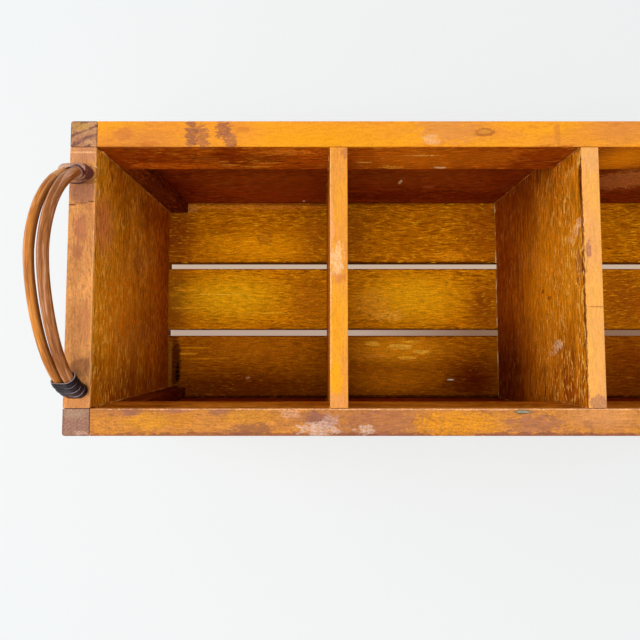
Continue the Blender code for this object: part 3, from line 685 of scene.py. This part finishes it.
for place, slat_marks, slat_paint, flecked, plank_shift, light_fibres in (
        ("front", FRONT_SLAT_MARKS, dark_slat_colours, 0.3, 0.25, 0.255),
        ("middle", MIDDLE_SLAT_MARKS, slat_colours, 0.5, 0.30, 0.325),
        ("back", BACK_SLAT_MARKS, back_slat_colours, 0.6, 0.20, 0.36)):
    plank = stained_wood(f"{place}_slat", "x", slat_paint, slat_marks,
                         shift=(0, 0, plank_shift), stripes=0.6, flecks=flecked, fleck_size=(7, 1.3),
                         light_fibres=light_fibres)
    dress((f"floor_slat_{place}",), plank)

# Handle rods
# Each handle is a pair of rattan rods, steamed, bent side by side and varnished with the skin
# on. Their whittled feet are glued into blind holes in the end board.
HANDLE_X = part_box("end_board_right")[1].x - 10.6 * MM
BACK_FOOT = 69.9 * MM
FRONT_FOOT = -77.5 * MM
HANDLE_RISE = 47.0 * MM
HANDLE_LEAN = 3.5 * MM
APEX_SHIFT = 11.7 * MM
SHOULDER_DRAW = 0.13
ROD_SPACING = 6.7 * MM
ROD_SPREAD = 1.4 * MM
ROD_RADII = {"outer": 2.9 * MM, "inner": 3.35 * MM}
FOOT_RADIUS = 2.4 * MM
FOOT_DEPTH = 13.7 * MM
SEAT = 0.3 * MM
ROD_STEPS = 120
ROD_SIDES = 28
JOINT_LENGTH = 1.6 * MM
SCAR_WAVER = 1.6 * MM
SCAR_OFFSET = 0.8 * MM
SCAR_EDGE = (0.55 * MM, 0.15 * MM)
PALE_SKIN_BEFORE = (2.0 * MM, 0.6 * MM)
PALE_SKIN_AFTER = (-14 * MM, -6 * MM)
PALE_SKIN_SHARE = 0.45
PAINTED_SHADE_BAND = (1.6 * MM, 2.8 * MM)
JOINT_SWELL = 0.05
RATTAN_NOISE = {"lines": (60, 0.5), "streaks": (22, 1.3, 2.0), "blotch": (18, 4.0, 2.0), "fine": (4, 0.8)}
ROD_UNEVENNESS = 0.025
ROD_WAVES = 45
ROD_JOINTS = {"left_outer": (31,), "left_inner": (), "right_outer": (58, 150), "right_inner": (112,)}


def drawn_in(share):
    """A sine or cosine with the arch's shoulders drawn in a little."""
    return math.copysign(abs(share) ** (1 + SHOULDER_DRAW), share)


def handle_point(end_sign, side, angle):
    """A point on a rod's centre line; side is 1 on the outer rod, -1 on the inner and 0 midway."""
    rise = math.sin(angle)
    across = (BACK_FOOT - FRONT_FOOT) / 2 * drawn_in(math.cos(angle)) + APEX_SHIFT * rise ** 2
    offset = side * (ROD_SPACING + ROD_SPREAD * rise) / 2 + HANDLE_LEAN * rise
    return Vector((end_sign * (HANDLE_X + offset), (BACK_FOOT + FRONT_FOOT) / 2 + across,
                   RIM + HANDLE_RISE * drawn_in(rise)))


def swept(name, runs, sides, squareness=1.0):
    """Rings of vertices, each extruded from station to station of its run. A station is the matrix
    that puts the ring in its place and the length so far; the straight attribute keeps each
    vertex's place on the same piece pulled straight."""
    shape = bmesh.new()
    straight = shape.verts.layers.float_vector.new("straight")
    for stations in runs:
        ring = bmesh.ops.create_circle(shape, segments=sides, radius=1.0, cap_ends=True)["verts"]
        for vertex in ring:
            vertex.co.x = math.copysign(abs(vertex.co.x) ** squareness, vertex.co.x)
            vertex.co.y = math.copysign(abs(vertex.co.y) ** squareness, vertex.co.y)
        edges = list({edge for vertex in ring for edge in vertex.link_edges})
        place = Matrix.Identity(4)
        for index, (matrix, length) in enumerate(stations):
            if index:
                grown = bmesh.ops.extrude_edge_only(shape, edges=edges)["geom"]
                ring = [part for part in grown if isinstance(part, bmesh.types.BMVert)]
                edges = [part for part in grown if isinstance(part, bmesh.types.BMEdge)
                         and all(vertex in ring for vertex in part.verts)]
            bmesh.ops.transform(shape, matrix=matrix @ place.inverted(), verts=ring)
            place = matrix
            back = matrix.inverted()
            wide, thick = matrix.col[0].length, matrix.col[1].length
            for vertex in ring:
                local = back @ vertex.co
                vertex[straight] = (local.x * wide, local.y * thick, length)
        bmesh.ops.contextual_create(shape, geom=edges)
    bmesh.ops.recalc_face_normals(shape, faces=shape.faces)
    mesh = bpy.data.meshes.new(name)
    shape.to_mesh(mesh)
    shape.free()
    mesh.shade_smooth()
    mesh.set_sharp_from_angle(angle=math.radians(50))
    return scene_object(name, mesh)


def ring_matrix(place, wide, out, radius_wide, radius_out):
    """The matrix that lays a unit ring at a place, spread along two directions."""
    forward = wide.cross(out).normalized()
    columns = (wide * radius_wide, out * radius_out, forward * MM, place)
    return Matrix([[column[row] for column in columns] for row in range(3)] + [[0, 0, 0, 1]])


def rattan_rod(end, rod):
    """A bent rod with whittled feet, slightly uneven, swollen at its joints."""
    end_sign = -1 if end == "left" else 1
    side = 1 if rod == "outer" else -1
    radius = ROD_RADII[rod]
    angles = [math.pi * step / ROD_STEPS for step in range(ROD_STEPS + 1)]
    arch = [handle_point(end_sign, side, angle) for angle in angles]
    up = Vector((0, 0, 1))
    back, front = arch[0], arch[-1]
    points = [back - up * FOOT_DEPTH, back + up * SEAT, back + up * 2 * SEAT, *arch[2:-2],
              front + up * 2 * SEAT, front + up * SEAT, front - up * FOOT_DEPTH]
    stations = []
    length = -FOOT_DEPTH
    last = len(points) - 1
    for index, point in enumerate(points):
        if index:
            length += (point - points[index - 1]).length
        ahead = (points[min(index + 1, last)] - points[max(index - 1, 0)]).normalized()
        wide = (Vector((1, 0, 0)) - ahead * ahead.x).normalized()
        out = ahead.cross(wide)
        uneven = noise.noise(Vector((length * ROD_WAVES, side * 7.0, end_sign * 3.0)))
        swell = sum(math.exp(-((length - joint * MM) / JOINT_LENGTH) ** 2)
                    for joint in ROD_JOINTS[f"{end}_{rod}"])
        size = radius * (1 + ROD_UNEVENNESS * uneven + JOINT_SWELL * swell)
        if index in (0, 1, last - 1, last):
            size = FOOT_RADIUS
        stations.append((ring_matrix(point, wide, out, size, size), length))
    piece = swept(f"rattan_{end}_{rod}", [stations], ROD_SIDES)
    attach(piece, "root")
    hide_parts(f"handle_rod_{end}_{rod}")
    return piece


def straight_place(tree):
    """The place on the same piece pulled straight: the length along it, the place across it, and
    both with its depth as one vector."""
    straight = add_node(tree, "Attribute", {}, attribute_name="straight")["Vector"]
    across, depth, along = add_node(tree, "SeparateXYZ", {0: straight})
    return along, across, add_node(tree, "CombineXYZ", {0: along, 1: across, 2: depth})[0]


def rattan_skin(name, colours, joints, painted_shade_sign):
    """Varnished rattan: lengthwise lines, blotches, painted shade in a band on the side towards the other
    rod (1, -1 or 0 for none), and a dark scar with paler skin at each joint."""
    material, tree, surface = bare_material(name)
    along, across, turned = straight_place(tree)
    lines, streaks, blotch, fine = noises(tree, turned, RATTAN_NOISE)
    layers = [("deep", blotch, 0.38, 0.66, 1.0), ("line", lines, 0.50, 0.70, 0.6),
              ("line", streaks, 0.52, 0.66, 0.8), ("pale", streaks, 0.46, 0.34, 0.7),
              ("pale", fine, 0.62, 0.78, 0.5)]
    # A band of painted shade on the side of the outer rod that faces the inner one.
    if painted_shade_sign:
        layers.append(("scar_and_shade", across, *[painted_shade_sign * place for place in PAINTED_SHADE_BAND], 0.6))
    colour = layered(tree, paint(colours["skin"]), colours, layers)
    for joint in joints:
        off = reckon(tree, "SUBTRACT", along, joint * MM)
        off = reckon(tree, "MULTIPLY_ADD", blotch, SCAR_WAVER, off)
        near = reckon(tree, "ABSOLUTE", reckon(tree, "SUBTRACT", off, SCAR_OFFSET))
        before = between(tree, off, *PALE_SKIN_BEFORE)
        after = between(tree, off, *PALE_SKIN_AFTER, PALE_SKIN_SHARE)
        colour = tint(tree, colour, paint(colours["pale"]), reckon(tree, "MULTIPLY", before, after))
        colour = layered(tree, colour, colours, [("scar_and_shade", near, *SCAR_EDGE, 0.7)])
    relief = reckon(tree, "MULTIPLY_ADD", lines, 0.7, fine)
    rough = reckon(tree, "ADD", between(tree, fine, 0.3, 0.7, 0.22), 0.26)
    varnish(tree, surface, colour, rough, gleam=0.45, relief=relief, strength=0.35, depth=0.25)
    return material


rod_colours = {
    "outer": {"skin": "#cc7e2a", "deep": "#b0641e", "line": "#8a4a18", "pale": "#dc9850", "scar_and_shade": "#5c3420"},
    "inner": {"skin": "#aa6830", "deep": "#90521c", "line": "#743e22", "pale": "#cc9470", "scar_and_shade": "#54301e"}}
# The outer rod of each handle gets painted shade on the side towards the inner rod.
for end, outer_shade_sign in (("left", 1), ("right", -1)):
    for rod in ("outer", "inner"):
        painted_shade_sign = outer_shade_sign if rod == "outer" else 0
        joints = ROD_JOINTS[f"{end}_{rod}"]
        skin = rattan_skin(f"varnished_rattan_{end}_{rod}", rod_colours[rod], joints, painted_shade_sign)
        rattan_rod(end, rod).data.materials.append(skin)

# Cane bindings
# Flat strips of cane peel, dyed dark and varnished, wound tight round both rods at each foot.
# Their ends are thinned and tucked in, and the turns wobble and lean a little, as handwork does.
STRIP_THICKNESS = 1.0 * MM
CANE_NOISE = {"fibres": (16, 0.28), "blotch": (7, 2.0, 2.0)}
STRIP_SIDES = 14
STRIP_SQUARENESS = 0.55
STRIP_WOBBLE = 0.22 * MM
WOBBLES_PER_TURN = 2.1
STRIP_PRESS = 0.12 * MM
PRESSES_PER_TURN = 3.3
STRIP_TILT = 0.10
TILTS_PER_TURN = 1.3
SMALL_TURN = 0.01
WORN_AND_HIGHLIT_EDGE = (0.50, 0.56)
END_TURN = 0.12
END_THINNESS = 0.35
BELT_GROWTH = 2.5
TURN_STEPS = 44


def belt(share, half_straight, left_radius, right_radius):
    """A point on the belt round two rods, at a share of the way round it."""
    straight = 2 * half_straight
    bend = math.pi * (left_radius + right_radius) / 2
    along = (share % 1) * 2 * (straight + bend)
    if along < straight:
        return half_straight - along, right_radius + (left_radius - right_radius) * along / straight
    along -= straight
    if along < bend:
        angle = math.pi / 2 + math.pi * along / bend
        return -half_straight + left_radius * math.cos(angle), left_radius * math.sin(angle)
    along -= bend
    if along < straight:
        return -half_straight + along, -left_radius + (left_radius - right_radius) * along / straight
    along -= straight
    angle = -math.pi / 2 + math.pi * along / bend
    return half_straight + right_radius * math.cos(angle), right_radius * math.sin(angle)


def foot_lengths(end_sign, foot_angle):
    """Lengths along a handle from one foot, each with the angle it is reached at."""
    inward = 1 if foot_angle == 0 else -1
    found = [(0.0, foot_angle)]
    last = handle_point(end_sign, 0, foot_angle)
    for step in range(1, ROD_STEPS // 2 + 1):
        angle = foot_angle + inward * math.pi * step / ROD_STEPS
        point = handle_point(end_sign, 0, angle)
        found.append((found[-1][0] + (point - last).length, angle))
        last = point
    return found


def angle_at(lengths, length):
    """The handle's angle at a length from the foot."""
    for (low, start), (high, stop) in zip(lengths, lengths[1:]):
        if length <= high:
            break
    return start + (stop - start) * (length - low) / (high - low)


def beside_handle(end_sign, lengths, across, out, length):
    """A place beside the bent rods, from its place beside the same rods pulled straight."""
    angle = angle_at(lengths, length)
    small = (lengths[1][1] - lengths[0][1]) / 4
    ahead = handle_point(end_sign, 0, angle + small) - handle_point(end_sign, 0, angle - small)
    wide = Vector((1, 0, 0))
    up = ahead.normalized().cross(wide).normalized()
    return handle_point(end_sign, 0, angle) + wide * across + up * out


def cane_winding(name, peel, end, side, start, pitch, turns, width, seed, flare, begin=0.0, slant=0.0,
                 lift=0.0):
    """A flat strip wound round both rods from a share of a turn on; slant raises its outer side,
    flare spreads its lower edge over the turns beneath, and its ends are tucked in."""
    end_sign = -1 if end == "left" else 1
    lengths = foot_lengths(end_sign, math.pi if side == "front" else 0)
    radii = [ROD_RADII[rod] + STRIP_THICKNESS / 2 + SEAT / 2 + lift for rod in ("outer", "inner")]
    left_radius, right_radius = radii if end == "left" else reversed(radii)

    def strip_place(turn, extra):
        half = ROD_SPACING / 2 * (1 + BELT_GROWTH * start)
        across, out = belt(turn, half, left_radius + extra, right_radius + extra)
        wobble = STRIP_WOBBLE * noise.noise(Vector((turn * WOBBLES_PER_TURN, seed, end_sign)))
        along = start + pitch * (turn - begin) + wobble + slant * across * end_sign
        return beside_handle(end_sign, lengths, across, out, max(along, width / 2))

    stations = []
    count = int(turns * TURN_STEPS)
    length = 0.0
    for index in range(count + 1):
        turn = begin + index / TURN_STEPS
        near_end = min(index, count - index) / (TURN_STEPS * END_TURN)
        size = min(1.0, END_THINNESS + (1 - END_THINNESS) * near_end)
        press = STRIP_PRESS * noise.noise(Vector((turn * PRESSES_PER_TURN, seed + 5.0, end_sign)))
        extra = press - STRIP_THICKNESS / 2 * (1 - min(1.0, near_end))
        place = strip_place(turn, extra)
        ahead = (strip_place(turn + SMALL_TURN, extra) - strip_place(turn - SMALL_TURN, extra)).normalized()
        out = strip_place(turn, extra + MM) - place
        out = (out - ahead * out.dot(ahead)).normalized()
        wide = out.cross(ahead).normalized()
        tilt = STRIP_TILT * noise.noise(Vector((turn * TILTS_PER_TURN, seed + 9.0, end_sign))) - flare
        lean, upright = math.sin(tilt), math.cos(tilt)
        wide, out = wide * upright + out * lean, out * upright - wide * lean
        if stations:
            length += (place - last_place).length
        last_place = place
        stations.append((ring_matrix(place, wide, out, width / 2, STRIP_THICKNESS / 2 * size), length))
    piece = swept(name, [stations], STRIP_SIDES, squareness=STRIP_SQUARENESS)
    piece.data.materials.append(peel)
    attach(piece, "root")
    return piece


def cane_peel(name, colours, width):
    """Dyed cane peel: fine lengthwise fibres, paler at both edges, partly from rubbing and partly as painted
    highlights, under glossy varnish.
    """
    material, tree, surface = bare_material(name)
    _, across, turned = straight_place(tree)
    fibres, blotch = noises(tree, turned, CANE_NOISE)
    side = reckon(tree, "MULTIPLY_ADD", fibres, 0.5 * MM, reckon(tree, "ABSOLUTE", across))
    colour = layered(tree, paint(colours["dye"]), colours, (
        ("dark", blotch, 0.38, 0.62, 1.0),
        ("fibre", fibres, 0.52, 0.72, 0.6),
        # Pale edges: partly wear and partly painted highlights.
        ("edge", side, *[width * share for share in WORN_AND_HIGHLIT_EDGE], 0.8)))
    rough = reckon(tree, "ADD", between(tree, blotch, 0.3, 0.7, 0.20), 0.26)
    varnish(tree, surface, colour, rough, gleam=0.28, relief=fibres, strength=0.8, depth=0.4)
    return material


strip_width = 4.7 * MM
ball_width = 3.5 * MM
loop_width = 4.8 * MM
dark_peel = cane_peel("dyed_cane_peel_dark", {
    "dye": "#24161e", "dark": "#0e080e", "fibre": "#4a383a", "edge": "#b4a4a8"}, strip_width)
plum_peel = cane_peel("dyed_cane_peel_plum", {
    "dye": "#70362e", "dark": "#3a1410", "fibre": "#b07c70", "edge": "#a88078"}, ball_width)
brown_peel = cane_peel("dyed_cane_peel_brown", {
    "dye": "#d0a080", "dark": "#ac7c64", "fibre": "#e0b89c", "edge": "#e4c4ae"}, loop_width)
for end, side, seed in (("left", "front", 9.0), ("right", "front", 10.0), ("right", "back", 9.0)):
    wound = cane_winding(f"cane_{side}_{end}", dark_peel, end, side, start=2.4 * MM, pitch=4.5 * MM,
                         turns=4.15, width=strip_width, seed=seed, lift=0.7 * MM, flare=0.10)
    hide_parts(f"cane_binding_{side}_{end}")

# The back left foot: a ball of narrower turns in two layers with a loose end across it, and a
# broad paler loop that slants over both rods and down onto the ball.
ball = cane_winding("cane_back_left", plum_peel, "left", "back", start=1.9 * MM, pitch=3.4 * MM,
                    turns=4.15, width=ball_width, seed=3.0, flare=0.15)
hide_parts("cane_binding_back_left")
cane_winding("cane_over_back_left", plum_peel, "left", "back", start=5.0 * MM, pitch=2.9 * MM, turns=2.6,
             width=ball_width, slant=-0.25, seed=6.0, lift=0.4 * MM, flare=0.25)
cane_winding("cane_flap_back_left", plum_peel, "left", "back", start=16.0 * MM, pitch=-9.0 * MM,
             turns=0.26, width=ball_width, begin=0.43, seed=11.0, lift=3.4 * MM, flare=0.3)
cane_winding("cane_loop_back_left", brown_peel, "left", "back", start=14.2 * MM, pitch=2.2 * MM,
             turns=1.0, width=loop_width, begin=0.80, slant=0.2, seed=2.0, lift=0.4 * MM, flare=0.45)

# Glue lines
# Threads of dried glue and varnish, which catch the light: down the inner corners, on the rim
# round the back left binding, and along the floor at the right divider. Places in millimetres.
GLUE_SIDES = 8
GLUE_STEP = 2.5 * MM
THINNEST = 0.2
GLUE_PATCHES = 90.0
BEAD_HEIGHT = 0.2 * MM
BEAD_WANDER = 1.2 * MM
DIVIDER_FOOT = 79.7
END_CORNER = 251.6
RAIL_CORNER = 88.6
PANEL_CORNER = 98.5
FLOOR_LINE = 20.5
DIVIDER_CORNERS = (79.6, 92.4)


def glue_run(start, stop, radius, seed):
    """The stations of one straight thread whose thickness comes and goes."""
    start, stop = Vector(start) * MM, Vector(stop) * MM
    ahead = (stop - start).normalized()
    wide = ahead.orthogonal().normalized()
    out = ahead.cross(wide)
    steps = int((stop - start).length / GLUE_STEP)
    stations = []
    for index in range(steps + 1):
        place = start.lerp(stop, index / steps)
        size = radius * MM * max(THINNEST, 0.75 + 0.9 * noise.noise(Vector((index * 0.31, seed, 0.5))))
        stations.append((ring_matrix(place, wide, out, size, size), (place - start).length))
    return stations


def glue_bead(share, turns, radius, reach):
    """The stations of a thread that lies on the rim round the binding of the back left foot."""
    lengths = foot_lengths(-1, 0)
    stations = []
    places = []
    for index in range(int(turns * TURN_STEPS) + 1):
        turn = share + index / TURN_STEPS
        uneven = reach * MM + BEAD_WANDER * noise.noise(Vector((turn * 4.0, 2.5, radius)))
        across, out = belt(turn, ROD_SPACING / 2, ROD_RADII["outer"] + uneven, ROD_RADII["inner"] + uneven)
        place = beside_handle(-1, lengths, across, out, 0.0)
        place.z = RIM + BEAD_HEIGHT
        places.append(place)
    for index, place in enumerate(places):
        ahead = places[min(index + 1, len(places) - 1)] - places[max(index - 1, 0)]
        wide = Vector((ahead.y, -ahead.x, 0)).normalized()
        size = radius * MM * max(THINNEST, 0.7 + 1.2 * noise.noise(Vector((index * 0.35, reach, 7.5))))
        stations.append((ring_matrix(place, wide, Vector((0, 0, 1)), size, size), index * MM))
    return stations


corner_runs = []
for end_sign in (-1, 1):
    for side_sign in (-1, 1):
        seed = 3.0 + end_sign + 5 * side_sign
        uprights = [(END_CORNER, RAIL_CORNER, 172, 22, 0.85, seed)]
        for corner in DIVIDER_CORNERS:
            uprights.append((corner, RAIL_CORNER, 178, 139, 0.65, seed + round(corner)))
            uprights.append((corner, PANEL_CORNER, 137, 21, 0.5, seed + 2 * round(corner)))
        for along, across, top, bottom, radius, run_seed in uprights:
            x, y = end_sign * along, side_sign * across
            corner_runs.append(glue_run((x, y, top), (x, y, bottom), radius, run_seed))
foot_runs = [glue_bead(share=0.62, turns=0.60, radius=0.5, reach=1.9),
             glue_bead(share=0.78, turns=0.35, radius=0.45, reach=3.2),
             glue_bead(share=0.56, turns=0.16, radius=0.5, reach=3.4)]
for low, high in ((-98, -37), (-28, 28), (37, 98)):
    foot_runs.append(glue_run((DIVIDER_FOOT, low, FLOOR_LINE), (DIVIDER_FOOT, high, FLOOR_LINE), 0.6, low))
for name, runs, shade, amber in (("glue_corners", corner_runs, "#e0a050", "#b06c20"),
                                 ("glue_feet", foot_runs, "#e8c48c", "#ac6c24")):
    threads = swept(name, runs, GLUE_SIDES)
    material, tree, surface = bare_material("dried_" + name)
    patch = add_node(tree, "TexNoise", {"Vector": object_place(tree), "Scale": GLUE_PATCHES})["Fac"]
    colour = tint(tree, paint(amber), paint(shade), between(tree, patch, 0.48, 0.62))
    shader = add_node(tree, "BsdfPrincipled", {"Base Color": colour, "Roughness": 0.45,
                                               "Specular IOR Level": 0.2})[0]
    tree.links.new(shader, surface)
    threads.data.materials.append(material)
    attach(threads, "root")
